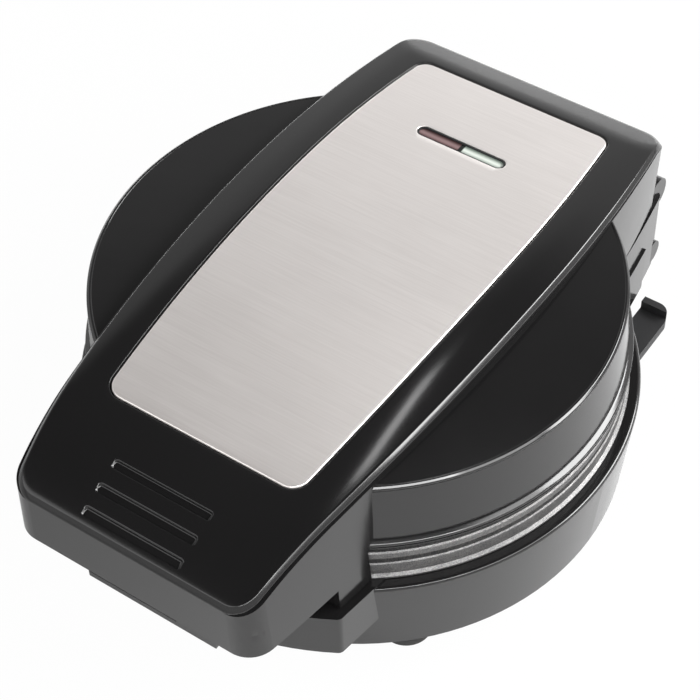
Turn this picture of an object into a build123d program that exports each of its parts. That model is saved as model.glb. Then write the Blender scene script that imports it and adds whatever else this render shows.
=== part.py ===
"""Round snack maker with a hinged lid, a long handle bar and two coated cooking plates.

Millimetres. The origin is on the table, under the axis of the round housings. +Z is up, the handle
points to -Y, and the lid's hinge is at +Y.
"""

import os
from math import sqrt

from build123d import *

# Overall size
REACH = 150.6  # front of the handle and back of the hinge, each side of the drum's axis
WALL = 2.5  # moulded wall of every housing
CLEAR = 0.3  # gap between pieces that lie beside each other

# Base drum
BASE_BOTTOM_Z = 16.0
BASE_LEDGE_Z = 57.5
BASE_FOOT_R = 111.7
BASE_RIM_R = 115.3
RIM_ROUND = 1.6
SEAT_R = 99.8  # inner radius of the ledges that carry the plates

# Lid drum
LID_LIP_Z = 76.3
LID_LIP_TOP_Z = 80.6
LID_TOP_Z = 108.8
LID_LIP_R = 110.4
LID_WALL_R = 108.4
LID_SHOULDER_R = 106.6
LID_SHOULDER_ROUND = 1.8
LID_SEAT_Z = 78.4  # underside of the ledge that the upper plate screws to

# Cooking plates
PARTING_Z = 67.45
PARTING_GAP = 0.3
PLATE_R = 109.3
PLATE_BEAD_R = 110.5
PLATE_LAND_R = 106.8  # the plates meet inside this radius
PLATE_THICK = 2.5
CAVITY_R = 96.0
CAVITY_DEPTH = 13.2
RIB_HEIGHT = 6.8
RIB_WIDTH = 5.0
RIB_PITCH = 24.0
DIVIDER_WIDTH = 8.0
UPPER_RIM_BOTTOM_Z = 68.8
UPPER_RIM_TOP_Z = 72.3
LOWER_RIM_TOP_Z = 66.0

# Heating elements, reflectors and their fixings
ELEMENT_R = 68.0
ELEMENT_TUBE_R = 3.2
ELEMENT_SEAT = 0.1
ELEMENT_OPEN_DEG = 28.0
TERMINAL_R = 1.6
TERMINAL_LENGTH = 17.0
REFLECTOR_THICK = 0.8
REFLECTOR_DEPTH = 13.0
REFLECTOR_FLOOR_R = 88.0
REFLECTOR_FLANGE_R = 100.5
CLIP_THICK = 1.0
CLIP_WIDTH = 9.0
CLIP_COUNT = 3
PLATE_SCREW_R = 102.6
PLATE_SCREW_COUNT = 4
SCREW_R = 1.6
SCREW_HEAD_R = 3.0
SCREW_HEAD = 2.0
BOSS_R = 4.2

# Bottom cover, feet and stays
COVER_Z = 17.0
COVER_GAP = 0.4
FOOT_RING_R = 93.0
FOOT_FRONT_DEG = 45.0
FOOT_REAR_DEG = 62.0
FOOT_R = 11.0
FOOT_TOP_R = 9.6
FOOT_STEM_R = 4.0
STAY_IN_X = 64.0
STAY_OUT_X = 77.5
STAY_END_Y = 135.0
STAY_START_Y = 57.0
STAY_POST_END_Y = 74.0
STAY_BOTTOM_Z = 2.0
STAY_TOP_Z = 7.0
STAY_LIP_Z = 11.0
STAY_LIP = 3.5
STAY_CORNER = 6.0
BASE_SCREW_R = 104.6
BASE_SCREW_COUNT = 4

# Locking block at the front of the base
BLOCK_R = 129.0
BLOCK_CORNER_X = 66.0
BLOCK_ROOT_X = 69.6
BLOCK_ROOT_Y = 86.0
BLOCK_BOTTOM_Z = 36.0
BLOCK_TOP_Z = 58.4
BLOCK_CORNER = 3.0
CATCH_OUT = 2.6
CATCH_HALF = 22.0
CATCH_BOTTOM_Z = 52.4
CATCH_TOP_Z = 54.8

# Hinge
KNUCKLE_R = 7.7
HINGE_Y = REACH - KNUCKLE_R
HINGE_Z = 66.7
HINGE_GAP = 0.5
LID_KNUCKLE_HALF = 44.5
BASE_KNUCKLE_END = 60.0
ROD_R = 2.0
ROD_FIT = 0.05
ROD_HALF = 59.0
HINGE_BLOCK_BACK_Y = 146.0
HINGE_BLOCK_BOTTOM_Z = 25.0
HINGE_BLOCK_TOP_Z = 66.2
HINGE_BLOCK_INSET = 0.3
HINGE_BLOCK_START_Y = 80.0
HINGE_BLOCK_CORNER = 5.0
STAND_PAD_R = 5.5
STAND_PAD_Y = 141.5
STAND_PAD_Z = 33.0
STAND_PAD_IN_X = 50.0
STAND_PAD_OUT_X = 62.0
SIDE_PANEL_TOP_Z = 49.0
SIDE_PANEL_END_Y = 127.0
SIDE_PANEL_OUT = 1.0
WIRE_WINDOW_HALF = 30.0

# Plan of the top cover: half width, and how fast it narrows to each end
BAR_HALF = 70.5
BAR_WIDE_Y = 40.0
BAR_FRONT_CURVE = 4.9e-4
BAR_REAR_CURVE = 8.25e-4
BAR_REAR_Y = 139.7
BAR_FRONT_CORNER = 11.0
BAR_REAR_CORNER = 11.0

# Foot of the bar's side walls, which lean out to the front and in to the back
SKIRT_HALF = 72.5
SKIRT_WIDE_Y = 20.0
SKIRT_FRONT_CURVE = 5.6e-4
SKIRT_REAR_CURVE = 8.2e-4
SKIRT_FRONT_CORNER = 12.0
SKIRT_REAR_CORNER = 8.0
SKIRT_BOTTOM_Z = 59.2
BAR_HEAD_Z = 118.0
BAR_HEAD_OUT = 0.4  # the side walls stand this far outside the cover
BAR_END_INSET = 0.3
HANDLE_FLOOR_Z = 70.0
EAR_Y = 107.0
REAR_BLOCK_Z = 67.2
REAR_BLOCK_FLOOR = 5.2

# Arch of the top cover, seen from the side
ARCH_TOP_Z = 117.2
ARCH_R = 1000.0
ARCH_FRONT_R = 115.0
ARCH_JOIN_Y = -105.0
LAND_HALF = 57.0
BEVEL_SLOPE = 0.17
REAR_BEVEL_Y = 123.5
REAR_BEVEL_FALL = 0.405
CROWN_MARGIN = 8.0  # how far the crown's own solid runs past the cover
COVER_DEPTH = 2.2  # visible height of the cover's edge
SHADOW_GAP = 0.5
TONGUE_WALL = 1.4
TONGUE_GAP = 0.6
TONGUE_DEPTH = 6.5

# Steel inlay and the indicator window
INLAY_HALF = 51.0
INLAY_WIDE_Y = 40.0
INLAY_FRONT_CURVE = 3.45e-4
INLAY_REAR_CURVE = 8.0e-4
INLAY_FRONT_Y = -103.5
INLAY_REAR_Y = 119.3
INLAY_FRONT_CORNER = 7.5
INLAY_REAR_CORNER = 6.0
INLAY_THICK = 0.9
INLAY_GAP = 0.7
WINDOW_X = -1.5
WINDOW_Y = 78.5
WINDOW_LENGTH = 42.0
WINDOW_WIDTH = 6.4
WINDOW_RIM = 0.8
LENS_THICK = 2.2
BEZEL_DROP = 0.4
LENS_DROP = 0.7
GRIP_Y = (-126.3, -136.1, -145.0)
GRIP_HALF = 22.8
GRIP_WIDTH = 3.8
GRIP_DEPTH = 1.1

# Latch under the handle
LATCH_PIVOT_Y = -138.5
LATCH_PIVOT_Z = 79.0
LATCH_HALF = 30.3
LATCH_PLATE = 2.5
LATCH_BOTTOM_Z = 47.5
LATCH_HOOK_HALF = 14.0
LATCH_HOOK_GAP = 1.5  # hook to catch with the latch at rest
LATCH_HOOK_LOW_Z = 48.0
LATCH_HOOK_TOP_Z = 51.0
LATCH_TUBE_R = 4.0
LATCH_PIN_R = 1.5
LATCH_EAR = 2.5
LATCH_EAR_R = 5.0
LATCH_WELL_FRONT_Y = -148.0
LATCH_WELL_REAR_Y = -129.5
LATCH_NOTCH_LOW_Z = 50.4
LATCH_NOTCH_HIGH_Z = 53.4
LATCH_NOTCH_RIGHT = 12.0
LATCH_NOTCH_DEPTH = 1.2

# Cord inlet
GLAND_Z = 44.0
GLAND_BORE_R = 3.6
GLAND_R = 6.5
GLAND_FLANGE_R = 8.5
GLAND_FLANGE = 2.0
GLAND_TAIL = 6.0

# Electrical pieces
LAMP_R = 3.0
LAMP_LENGTH = 11.0
LAMP_X = 11.0
HOLDER_WALL = 1.5
THERMOSTAT_R = 9.0
THERMOSTAT_HEIGHT = 6.0
FUSE_R = 2.2
FUSE_LENGTH = 22.0
BLOCK_LENGTH = 30.0
BLOCK_WIDTH = 16.0
BLOCK_HEIGHT = 13.0

# Heights that follow from the sizes above
LOWER_TOP_Z = PARTING_Z - PARTING_GAP / 2
UPPER_BOTTOM_Z = PARTING_Z + PARTING_GAP / 2
LOWER_PLATE_UNDER_Z = LOWER_TOP_Z - CAVITY_DEPTH - PLATE_THICK
UPPER_PLATE_OVER_Z = UPPER_BOTTOM_Z + CAVITY_DEPTH + PLATE_THICK
FAR = 400.0


def write(piece, name):
    """Label a finished piece and write it as its own file."""
    piece.part.label = name
    export_step(piece.part, f"parts/{name}.step")


def half_width(y, peak, wide_y, front_curve, rear_curve):
    """Half width of a waisted outline: the peak less the curve times the square of the distance."""
    curve = front_curve if y < wide_y else rear_curve
    return peak - curve * (y - wide_y) ** 2


def waisted_face(peak, wide_y, curves, ends, corners):
    """Face with straight ends and bowed sides, mirrored about the Y axis, with rounded corners."""
    front_y, rear_y = ends

    def side(y):
        return (half_width(y, peak, wide_y, *curves), y)

    with BuildSketch() as outline:
        with BuildLine():
            ThreePointArc(side(front_y), side((front_y + wide_y) / 2), side(wide_y))
            ThreePointArc(side(wide_y), side((rear_y + wide_y) / 2), side(rear_y))
            Line(side(rear_y), (0, rear_y))
            Line((0, front_y), side(front_y))
            mirror(about=Plane.YZ)
        make_face()
        corner_points = outline.vertices().filter_by(lambda v: abs(v.X) > 1)
        fillet(corner_points.group_by(Axis.Y)[0], corners[0])
        corner_points = outline.vertices().filter_by(lambda v: abs(v.X) > 1)
        fillet(corner_points.group_by(Axis.Y)[-1], corners[1])
    return outline.sketch


def bar_face(inset):
    """Plan of the top cover, drawn in by an inset."""
    return waisted_face(
        BAR_HALF - inset,
        BAR_WIDE_Y,
        (BAR_FRONT_CURVE, BAR_REAR_CURVE),
        (-REACH + inset, BAR_REAR_Y - inset),
        (BAR_FRONT_CORNER - inset, BAR_REAR_CORNER - inset),
    )


def skirt_face(inset):
    """Plan of the foot of the bar's side walls, drawn in by an inset."""
    return waisted_face(
        SKIRT_HALF - inset,
        SKIRT_WIDE_Y,
        (SKIRT_FRONT_CURVE, SKIRT_REAR_CURVE),
        (-REACH + BAR_END_INSET + inset, BAR_REAR_Y - BAR_END_INSET - inset),
        (SKIRT_FRONT_CORNER - inset, SKIRT_REAR_CORNER - inset),
    )


def head_face(inset):
    """Plan of the bar's side walls at the height of the cover's top, drawn in by an inset."""
    return waisted_face(
        BAR_HALF + BAR_HEAD_OUT - inset,
        BAR_WIDE_Y,
        (BAR_FRONT_CURVE, BAR_REAR_CURVE),
        (-REACH + BAR_END_INSET + inset, BAR_REAR_Y - BAR_END_INSET - inset),
        (BAR_FRONT_CORNER - inset, SKIRT_REAR_CORNER - inset),
    )


def inlay_face(inset):
    """Plan of the steel inlay, drawn in by an inset."""
    return waisted_face(
        INLAY_HALF - inset,
        INLAY_WIDE_Y,
        (INLAY_FRONT_CURVE, INLAY_REAR_CURVE),
        (INLAY_FRONT_Y + inset, INLAY_REAR_Y - inset),
        (INLAY_FRONT_CORNER - inset, INLAY_REAR_CORNER - inset),
    )


def prism(face, bottom_z, top_z):
    """Upright solid of a plan face between two heights."""
    with BuildPart() as solid:
        with BuildSketch(Plane.XY.offset(bottom_z)):
            add(face)
        extrude(amount=top_z - bottom_z)
    return solid.part


def under_crown(drop):
    """Solid below the cover's arched and bevelled top, with that top lowered by a drop."""
    start_y = BAR_REAR_Y + CROWN_MARGIN
    end_y = -REACH - CROWN_MARGIN
    slope_half = BAR_HALF + CROWN_MARGIN
    slope_drop = BEVEL_SLOPE * (slope_half - LAND_HALF)
    middle_y = (ARCH_JOIN_Y + end_y) / 2
    front_lean = ARCH_JOIN_Y / ARCH_R
    front_y = (ARCH_R - ARCH_FRONT_R) * front_lean
    front_z = ARCH_TOP_Z - ARCH_R + (ARCH_R - ARCH_FRONT_R) * sqrt(1 - front_lean**2)

    def rear_point(y):
        return (y, arch_z(y))

    def front_point(y):
        return (y, front_z + sqrt(ARCH_FRONT_R**2 - (y - front_y) ** 2))

    with BuildPart() as solid:
        with BuildSketch(Plane.YZ):
            with BuildLine():
                ThreePointArc(rear_point(start_y), rear_point(start_y / 2), rear_point(ARCH_JOIN_Y))
                ThreePointArc(rear_point(ARCH_JOIN_Y), front_point(middle_y), front_point(end_y))
                Polyline(front_point(end_y), (end_y, 0), (start_y, 0), rear_point(start_y))
            make_face()
        extrude(amount=slope_half, both=True)
        with BuildLine(Plane.YZ) as arch:
            ThreePointArc(rear_point(start_y), rear_point(start_y / 2), rear_point(ARCH_JOIN_Y))
            ThreePointArc(rear_point(ARCH_JOIN_Y), front_point(middle_y), front_point(end_y))
        spine = arch.wires()[0]
        for side in (-1, 1):
            with BuildSketch(Plane(origin=spine @ 0, x_dir=(1, 0, 0), z_dir=spine % 0)):
                Polygon(
                    (side * LAND_HALF, 0),
                    (side * (slope_half + 1), -slope_drop - BEVEL_SLOPE),
                    (side * (slope_half + 1), CROWN_MARGIN),
                    (side * LAND_HALF, CROWN_MARGIN),
                    align=None,
                )
            sweep(path=spine, mode=Mode.SUBTRACT)
        bevel_z = arch_z(REAR_BEVEL_Y)
        with BuildSketch(Plane.YZ):
            Polygon(
                (REAR_BEVEL_Y, bevel_z),
                (start_y + 1, bevel_z - REAR_BEVEL_FALL * (start_y + 1 - REAR_BEVEL_Y)),
                (start_y + 1, bevel_z + CROWN_MARGIN),
                (REAR_BEVEL_Y, bevel_z + CROWN_MARGIN),
                align=None,
            )
        extrude(amount=slope_half + 1, both=True, mode=Mode.SUBTRACT)
    return solid.part.moved(Location((0, 0, -drop)))


def arch_z(y):
    """Height of the top cover's long arch over a place along the bar."""
    return ARCH_TOP_Z - ARCH_R + sqrt(ARCH_R**2 - y**2)


def above_crown(face, drop):
    """Upright solid of a plan face over the cover's top, lowered by a drop."""
    with BuildPart() as solid:
        add(prism(face, HANDLE_FLOOR_Z, BAR_HEAD_Z + WALL))
        add(under_crown(drop), mode=Mode.SUBTRACT)
    return solid.part


def leaning_bar(inset):
    """Solid of the bar between its skirt and its head, drawn in by an inset."""
    with BuildPart() as solid:
        with BuildSketch(Plane.XY.offset(SKIRT_BOTTOM_Z)):
            add(skirt_face(inset))
        with BuildSketch(Plane.XY.offset(BAR_HEAD_Z)):
            add(head_face(inset))
        loft(ruled=True)
    return solid.part


def ring_points(radius, count, start_deg=0.0):
    """Places evenly round the drum's axis."""
    return PolarLocations(radius, count, start_angle=start_deg)


def lathe(points):
    """Solid turned about the drum's axis from points of radius and height."""
    with BuildPart() as solid:
        with BuildSketch(Plane.XZ):
            Polygon(*points, align=None)
        revolve(axis=Axis.Z)
    return solid.part


def x_rod(radius, start_x, end_x, y, z):
    """Round bar along X."""
    with BuildPart() as solid:
        with BuildSketch(Plane.YZ.offset(start_x)):
            with Locations((y, z)):
                Circle(radius)
        extrude(amount=end_x - start_x)
    return solid.part


def block(low, high):
    """Square block between two corners."""
    with BuildPart() as solid:
        with Locations(tuple((a + b) / 2 for a, b in zip(low, high))):
            Box(*(b - a for a, b in zip(low, high)))
    return solid.part


def base_outer_radius(z):
    """Outer radius of the base drum's leaning wall at a height."""
    share = (z - BASE_BOTTOM_Z) / (BASE_LEDGE_Z - BASE_BOTTOM_Z)
    return BASE_FOOT_R + share * (BASE_RIM_R - BASE_FOOT_R)


def lock_block_face(inset):
    """Plan of the locking block: an arc about the drum's axis between two side faces."""
    radius = BLOCK_R - inset
    corner_x = BLOCK_CORNER_X - inset
    corner_y = -sqrt(radius**2 - corner_x**2)
    root_x = BLOCK_ROOT_X - inset
    with BuildSketch() as outline:
        with BuildLine():
            ThreePointArc((-corner_x, corner_y), (0, -radius), (corner_x, corner_y))
            Polyline(
                (corner_x, corner_y),
                (root_x, -BLOCK_ROOT_Y),
                (-root_x, -BLOCK_ROOT_Y),
                (-corner_x, corner_y),
            )
        make_face()
        fillet(outline.vertices().group_by(Axis.Y)[0], BLOCK_CORNER)
    return outline.sketch


def hinge_block_face(inset):
    """Plan of the hinge block: the cover's rear outline drawn in, run back to its own back face."""
    start_y = HINGE_BLOCK_START_Y + max(inset, 0)
    back_y = HINGE_BLOCK_BACK_Y - max(inset, 0)
    middle_y = (start_y + back_y) / 2

    def side(y):
        across = half_width(y, BAR_HALF, BAR_WIDE_Y, BAR_FRONT_CURVE, BAR_REAR_CURVE)
        return (across - HINGE_BLOCK_INSET - inset, y)

    with BuildSketch() as outline:
        with BuildLine():
            ThreePointArc(side(start_y), side(middle_y), side(back_y))
            Line(side(back_y), (0, back_y))
            Line((0, start_y), side(start_y))
            mirror(about=Plane.YZ)
        make_face()
        corner_points = outline.vertices().filter_by(lambda v: abs(v.X) > 1)
        fillet(corner_points.group_by(Axis.Y)[-1], HINGE_BLOCK_CORNER - max(inset, 0))
    return outline.sketch


def base_drum():
    """Base drum: leaning wall with a rounded rim and a ledge for the lower plate."""
    inner_foot_r = BASE_FOOT_R - WALL
    with BuildPart() as drum:
        with BuildSketch(Plane.XZ):
            Polygon(
                (inner_foot_r, BASE_BOTTOM_Z),
                (BASE_FOOT_R, BASE_BOTTOM_Z),
                (BASE_RIM_R, BASE_LEDGE_Z),
                (SEAT_R, BASE_LEDGE_Z),
                (SEAT_R, BASE_LEDGE_Z - WALL),
                (base_outer_radius(BASE_LEDGE_Z - WALL) - WALL, BASE_LEDGE_Z - WALL),
                align=None,
            )
        revolve(axis=Axis.Z)
        rim = drum.edges().filter_by(GeomType.CIRCLE).sort_by(SortBy.RADIUS)[-1]
        fillet(rim, RIM_ROUND)
    return drum.part


def hinge_block_hollow():
    """Hollow of the hinge block, clear of the lid's knuckle and of the lower plate."""
    trough_r = KNUCKLE_R + HINGE_GAP + WALL
    bead_r = PLATE_BEAD_R + CLEAR + WALL
    with BuildPart() as hollow:
        add(
            prism(hinge_block_face(WALL), HINGE_BLOCK_BOTTOM_Z + WALL, HINGE_BLOCK_TOP_Z - WALL)
        )
        add(x_rod(trough_r, -FAR, FAR, HINGE_Y, HINGE_Z), mode=Mode.SUBTRACT)
        add(lathe(((0, 0), (bead_r, 0), (bead_r, FAR), (0, FAR))), mode=Mode.SUBTRACT)
    return hollow.part


def lower_housing():
    """Base moulding: drum wall, plate ledge, locking block, hinge block and base knuckles."""
    inner_foot_r = BASE_FOOT_R - WALL
    inner_rim_r = base_outer_radius(BASE_LEDGE_Z - WALL) - WALL
    ledge_under_z = BASE_LEDGE_Z - WALL
    bead_r = PLATE_BEAD_R + CLEAR
    with BuildPart() as body:
        # Locking block, open from below
        add(prism(lock_block_face(0), BLOCK_BOTTOM_Z, BLOCK_TOP_Z))
        add(
            prism(lock_block_face(WALL), BLOCK_BOTTOM_Z - WALL, BLOCK_TOP_Z - WALL),
            mode=Mode.SUBTRACT,
        )
        # Hinge block with its raised side panels, standing pads and knuckles
        add(prism(hinge_block_face(0), HINGE_BLOCK_BOTTOM_Z, HINGE_BLOCK_TOP_Z))
        with BuildPart(mode=Mode.PRIVATE) as panel:
            add(prism(hinge_block_face(-SIDE_PANEL_OUT), HINGE_BLOCK_BOTTOM_Z, SIDE_PANEL_TOP_Z))
            add(
                block((-FAR, 0, 0), (FAR, SIDE_PANEL_END_Y, SIDE_PANEL_TOP_Z)),
                mode=Mode.INTERSECT,
            )
        add(panel.part)
        for side in (-1, 1):
            pad_in, pad_out = sorted((side * STAND_PAD_IN_X, side * STAND_PAD_OUT_X))
            add(x_rod(STAND_PAD_R, pad_in, pad_out, STAND_PAD_Y, STAND_PAD_Z))
            cheek_in, cheek_out = sorted(
                (side * (LID_KNUCKLE_HALF + HINGE_GAP), side * BASE_KNUCKLE_END)
            )
            add(x_rod(KNUCKLE_R, cheek_in, cheek_out, HINGE_Y, HINGE_Z))
        add(hinge_block_hollow(), mode=Mode.SUBTRACT)
        # Trough for the lid's knuckle, and the bore of the hinge rod
        trough_half = LID_KNUCKLE_HALF + HINGE_GAP
        add(
            x_rod(KNUCKLE_R + HINGE_GAP, -trough_half, trough_half, HINGE_Y, HINGE_Z),
            mode=Mode.SUBTRACT,
        )
        add(x_rod(ROD_R + ROD_FIT, -ROD_HALF, ROD_HALF, HINGE_Y, HINGE_Z), mode=Mode.SUBTRACT)
        # Drum, with the blocks cut back to its inside
        inside = lathe(
            (
                (0, 0),
                (inner_foot_r, 0),
                (inner_foot_r, BASE_BOTTOM_Z),
                (inner_rim_r, ledge_under_z),
                (inner_rim_r, BASE_LEDGE_Z - WALL / 2),
                (bead_r, BASE_LEDGE_Z),
                (bead_r, PARTING_Z + WALL),
                (0, PARTING_Z + WALL),
            )
        )
        add(inside, mode=Mode.SUBTRACT)
        add(base_drum())
        # Window for the wires between the drum and the hinge block
        add(
            block(
                (-WIRE_WINDOW_HALF, BASE_FOOT_R - 5 * WALL, HINGE_BLOCK_BOTTOM_Z + 2 * WALL),
                (WIRE_WINDOW_HALF, BASE_RIM_R + 3 * WALL, ledge_under_z - WALL),
            ),
            mode=Mode.SUBTRACT,
        )
        # Bosses for the bottom cover's screws, and holes for the lower plate's screws
        boss_bottom_z = COVER_Z + WALL
        with BuildSketch(Plane.XY.offset(boss_bottom_z)):
            with ring_points(BASE_SCREW_R, BASE_SCREW_COUNT):
                Circle(BOSS_R)
        extrude(amount=BASE_LEDGE_Z - WALL / 2 - boss_bottom_z)
        with BuildSketch(Plane.XY.offset(boss_bottom_z)):
            with ring_points(BASE_SCREW_R, BASE_SCREW_COUNT):
                Circle(SCREW_R)
        extrude(amount=4 * SCREW_HEAD_R, mode=Mode.SUBTRACT)
        with BuildSketch(Plane.XY.offset(ledge_under_z)):
            with ring_points(PLATE_SCREW_R, PLATE_SCREW_COUNT, 45):
                Circle(SCREW_R)
        extrude(amount=WALL, mode=Mode.SUBTRACT)
        # Hole for the cord gland
        with BuildSketch(Plane.XZ.offset(-HINGE_BLOCK_BACK_Y + 2 * WALL)):
            with Locations((0, GLAND_Z)):
                Circle(GLAND_R)
        extrude(amount=-4 * WALL, mode=Mode.SUBTRACT)
    write(body, "lower_housing")


def stay_solid(side):
    """Flat stay with an upturned lip, and the post that hangs it from the bottom cover."""
    in_x, out_x = sorted((side * STAY_IN_X, side * STAY_OUT_X))
    with BuildPart() as stay:
        with BuildSketch(Plane.XY.offset(STAY_BOTTOM_Z)) as plan:
            with Locations(((in_x + out_x) / 2, (STAY_START_Y + STAY_END_Y) / 2)):
                Rectangle(out_x - in_x, STAY_END_Y - STAY_START_Y)
            outer = plan.vertices().sort_by(Axis.Y)[-2:].sort_by(Axis.X)
            fillet(outer[-1] if side > 0 else outer[0], STAY_CORNER)
        extrude(amount=STAY_LIP_Z - STAY_BOTTOM_Z)
        add(
            block(
                (in_x - WALL, STAY_START_Y - WALL, STAY_TOP_Z),
                (out_x + WALL, STAY_END_Y - STAY_LIP, STAY_LIP_Z + WALL),
            ),
            mode=Mode.SUBTRACT,
        )
        add(block((in_x, STAY_START_Y, STAY_BOTTOM_Z), (out_x, STAY_POST_END_Y, COVER_Z + WALL)))
    return stay.part


def foot_angles():
    """Place of each foot: name and angle about the drum's axis."""
    return (
        ("foot_front_right", -FOOT_FRONT_DEG),
        ("foot_front_left", 180 + FOOT_FRONT_DEG),
        ("foot_rear_right", FOOT_REAR_DEG),
        ("foot_rear_left", 180 - FOOT_REAR_DEG),
    )


def bottom_cover():
    """Flat cover under the base, with screw holes, foot holes and two flat stays at the back."""
    cover_r = base_outer_radius(COVER_Z) - WALL - COVER_GAP
    with BuildPart() as cover:
        with BuildSketch(Plane.XY.offset(COVER_Z)):
            Circle(cover_r)
        extrude(amount=WALL)
        for side in (-1, 1):
            add(stay_solid(side))
        with BuildSketch(Plane.XY.offset(COVER_Z)):
            with ring_points(BASE_SCREW_R, BASE_SCREW_COUNT):
                Circle(SCREW_R)
            for _, angle in foot_angles():
                with PolarLocations(FOOT_RING_R, 1, start_angle=angle):
                    Circle(FOOT_STEM_R)
        extrude(amount=WALL, mode=Mode.SUBTRACT)
    write(cover, "bottom_cover")


def foot(name, angle):
    """Rubber foot with a stem that plugs into the bottom cover and a button above it."""
    with BuildPart() as rubber:
        with BuildSketch(Plane.XY):
            with PolarLocations(FOOT_RING_R, 1, start_angle=angle):
                Circle(FOOT_R)
        with BuildSketch(Plane.XY.offset(COVER_Z)):
            with PolarLocations(FOOT_RING_R, 1, start_angle=angle):
                Circle(FOOT_TOP_R)
        loft()
        with BuildSketch(Plane.XY.offset(COVER_Z)):
            with PolarLocations(FOOT_RING_R, 1, start_angle=angle):
                Circle(FOOT_STEM_R)
        extrude(amount=WALL)
        with BuildSketch(Plane.XY.offset(COVER_Z + WALL)):
            with PolarLocations(FOOT_RING_R, 1, start_angle=angle):
                Circle(FOOT_STEM_R + 1.2)
        extrude(amount=WALL)
    write(rubber, name)


def screw_group(name, radius, count, start_deg, head_z, length, up):
    """Ring of screws about the drum's axis, heads at one height and shanks up or down."""
    sign = 1 if up else -1
    with BuildPart() as screws:
        with BuildSketch(Plane.XY.offset(head_z)):
            with ring_points(radius, count, start_deg):
                Circle(SCREW_HEAD_R)
        extrude(amount=-sign * SCREW_HEAD)
        with BuildSketch(Plane.XY.offset(head_z)):
            with ring_points(radius, count, start_deg):
                Circle(SCREW_R)
        extrude(amount=sign * length)
    write(screws, name)


def waffle_ribs(floor_z, up):
    """Crossed ribs inside the round cavity, with a wider cross that parts it in four."""
    sign = 1 if up else -1
    half = CAVITY_R
    lines = [n * RIB_PITCH for n in range(-3, 4) if n]
    with BuildPart() as ribs:
        with BuildSketch(Plane.XY.offset(floor_z - sign * WALL / 2)):
            for offset_line in lines:
                with Locations((offset_line, 0)):
                    Rectangle(RIB_WIDTH, 2 * half)
                with Locations((0, offset_line)):
                    Rectangle(2 * half, RIB_WIDTH)
            Rectangle(DIVIDER_WIDTH, 2 * half)
            Rectangle(2 * half, DIVIDER_WIDTH)
            Circle(CAVITY_R + WALL / 2, mode=Mode.INTERSECT)
        extrude(amount=sign * (RIB_HEIGHT + WALL / 2), taper=6)
    return ribs.part


def lower_cooking_plate():
    """Coated cast plate: outer wall with a rolled foot, flat land, round cavity with ribs."""
    floor_z = LOWER_TOP_Z - CAVITY_DEPTH
    with BuildPart() as plate:
        with BuildSketch(Plane.XZ):
            Polygon(
                (0, LOWER_PLATE_UNDER_Z),
                (CAVITY_R, LOWER_PLATE_UNDER_Z),
                (CAVITY_R + 3.0, LOWER_PLATE_UNDER_Z + 3.0),
                (CAVITY_R + 3.0, BASE_LEDGE_Z),
                (PLATE_BEAD_R - 0.5, BASE_LEDGE_Z),
                (PLATE_BEAD_R, BASE_LEDGE_Z + 0.5),
                (PLATE_BEAD_R, BASE_LEDGE_Z + 1.3),
                (PLATE_R, BASE_LEDGE_Z + 2.3),
                (PLATE_R, LOWER_RIM_TOP_Z - 0.5),
                (PLATE_R - 0.5, LOWER_RIM_TOP_Z),
                (PLATE_LAND_R, LOWER_RIM_TOP_Z),
                (PLATE_LAND_R, LOWER_TOP_Z),
                (CAVITY_R, LOWER_TOP_Z),
                (CAVITY_R - 3.0, floor_z),
                (0, floor_z),
                align=None,
            )
        revolve(axis=Axis.Z)
        add(waffle_ribs(floor_z, up=True))
        with BuildSketch(Plane.XY.offset(BASE_LEDGE_Z)):
            with ring_points(PLATE_SCREW_R, PLATE_SCREW_COUNT, 45):
                Circle(SCREW_R)
        extrude(amount=2 * WALL, mode=Mode.SUBTRACT)
    write(plate, "lower_cooking_plate")


def upper_cooking_plate():
    """Coated cast plate of the lid: thin outer rim, set-back neck, round cavity with ribs."""
    floor_z = UPPER_BOTTOM_Z + CAVITY_DEPTH
    with BuildPart() as plate:
        with BuildSketch(Plane.XZ):
            Polygon(
                (0, UPPER_PLATE_OVER_Z),
                (CAVITY_R, UPPER_PLATE_OVER_Z),
                (CAVITY_R + 3.0, UPPER_PLATE_OVER_Z - 3.0),
                (CAVITY_R + 3.0, LID_SEAT_Z),
                (PLATE_LAND_R - 0.6, LID_SEAT_Z),
                (PLATE_LAND_R - 0.6, UPPER_RIM_TOP_Z),
                (PLATE_R - 0.9, UPPER_RIM_TOP_Z),
                (PLATE_R - 0.3, UPPER_RIM_TOP_Z - 0.6),
                (PLATE_R - 0.3, UPPER_RIM_BOTTOM_Z),
                (PLATE_LAND_R, UPPER_RIM_BOTTOM_Z),
                (PLATE_LAND_R, UPPER_BOTTOM_Z),
                (CAVITY_R, UPPER_BOTTOM_Z),
                (CAVITY_R - 3.0, floor_z),
                (0, floor_z),
                align=None,
            )
        revolve(axis=Axis.Z)
        add(waffle_ribs(floor_z, up=False))
        with BuildSketch(Plane.XY.offset(LID_SEAT_Z)):
            with ring_points(PLATE_SCREW_R, PLATE_SCREW_COUNT, 45):
                Circle(SCREW_R)
        extrude(amount=-2 * WALL, mode=Mode.SUBTRACT)
    write(plate, "upper_cooking_plate")


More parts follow.
